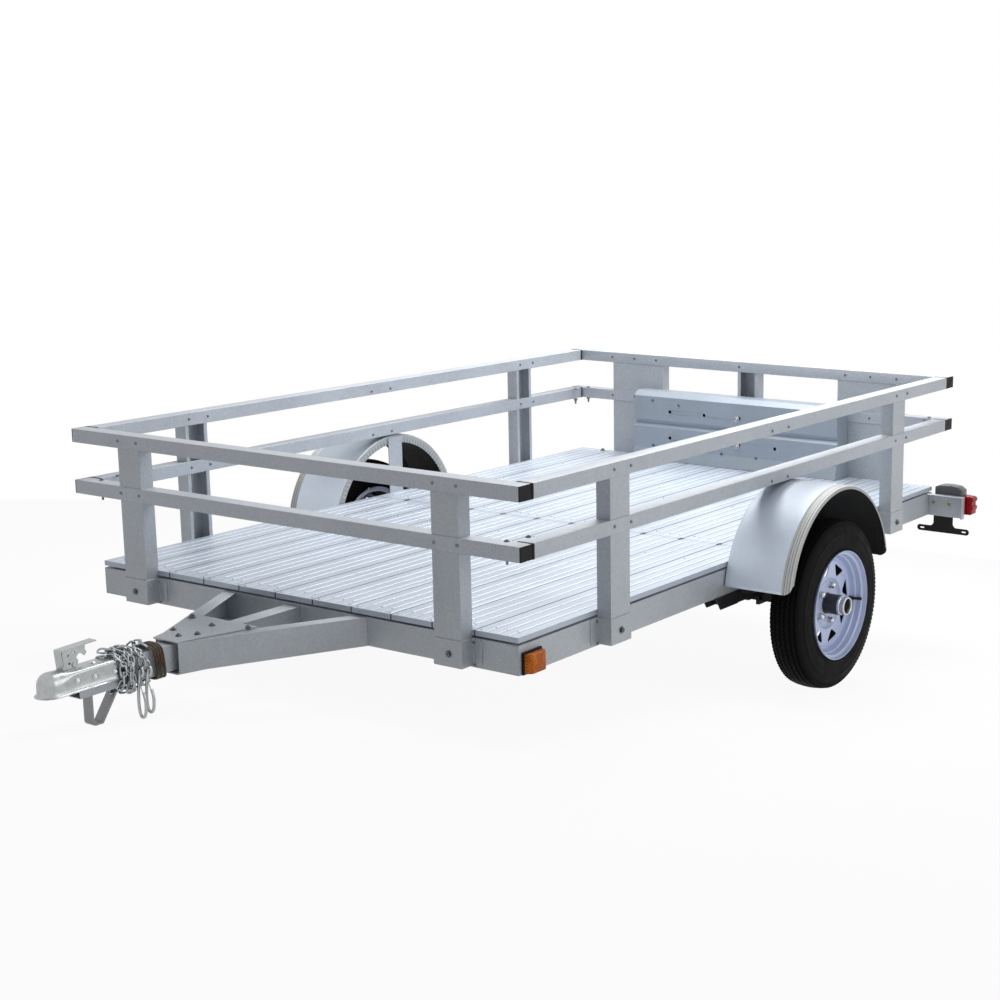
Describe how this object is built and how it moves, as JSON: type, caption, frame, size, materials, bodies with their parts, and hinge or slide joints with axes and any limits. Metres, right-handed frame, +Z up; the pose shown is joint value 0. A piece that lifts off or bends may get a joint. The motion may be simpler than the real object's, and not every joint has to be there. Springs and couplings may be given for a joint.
{
  "type": "utility trailer",
  "caption": "Single-axle utility trailer of folded galvanised sheet: planked deck, rail sides on channel posts, A-frame tongue with ball coupler, round fenders and lamps.",
  "frame": {"origin": "on the ground under the middle of the overall length, parked nose-down on the stand strap and both tyres", "axes": "+X towards the hitch, +Y to the left, +Z up; the bed itself falls towards the hitch by 7.26 degrees"},
  "size_m": [3.3216, 2.084, 0.9784],
  "materials": {
    "galvanised": "galvanised",
    "tyre": "matt",
    "rim": "gloss",
    "hub": "satin",
    "fender": "satin",
    "zinc": "zinc plated",
    "black_steel": "satin",
    "black_plastic": "matt",
    "amber_lens": "gloss",
    "red_lens": "gloss",
    "wiring": "matt"
  },
  "bodies": {
    "chassis": {"axle": "black_steel", "axle_clamps": "black_steel", "coupler": "zinc", "coupler_latch": "zinc", "crossmembers": "galvanised", "deck_front": "galvanised", "deck_rear": "galvanised", "fender_brackets": "galvanised", "fender_left": "fender", "fender_right": "fender", "front_beam": "galvanised", "front_posts": "galvanised", "front_rails": "galvanised", "gusset_plates": "galvanised", "leaf_springs": "black_steel", "plate_bracket": "black_steel", "rail_end_caps": "black_plastic", "rear_beam": "galvanised", "rear_corner_posts": "galvanised", "rear_middle_post": "galvanised", "rear_rails": "galvanised", "safety_chains": "zinc", "side_beams": "galvanised", "side_marker_bases": "black_plastic", "side_marker_lenses": "amber_lens", "side_posts": "galvanised", "side_rails_front": "galvanised", "side_rails_rear": "galvanised", "spring_hangers": "black_steel", "stake_pockets": "galvanised", "tail_brackets": "galvanised", "tail_lamps": "black_plastic", "tail_lenses": "red_lens", "tail_panel_lower": "galvanised", "tail_panel_upper": "galvanised", "tongue_arms": "galvanised", "tongue_stand": "galvanised", "tongue_tube": "galvanised", "wiring_coil": "wiring", "wiring_plug": "black_plastic"},
    "wheel_left": {"tyre_left": "tyre", "rim_left": "rim", "hub_left": "hub"},
    "wheel_right": {"tyre_right": "tyre", "rim_right": "rim", "hub_right": "hub"}
  },
  "joints": [
    {"name": "wheel_left_spin", "type": "hinge", "parent": "chassis", "child": "wheel_left", "pos_m": [-0.49176, 0.958, 0.265], "axis": [0, 1, 0], "continuous": true},
    {"name": "wheel_right_spin", "type": "hinge", "parent": "chassis", "child": "wheel_right", "pos_m": [-0.49176, -0.958, 0.265], "axis": [0, 1, 0], "continuous": true}
  ]
}
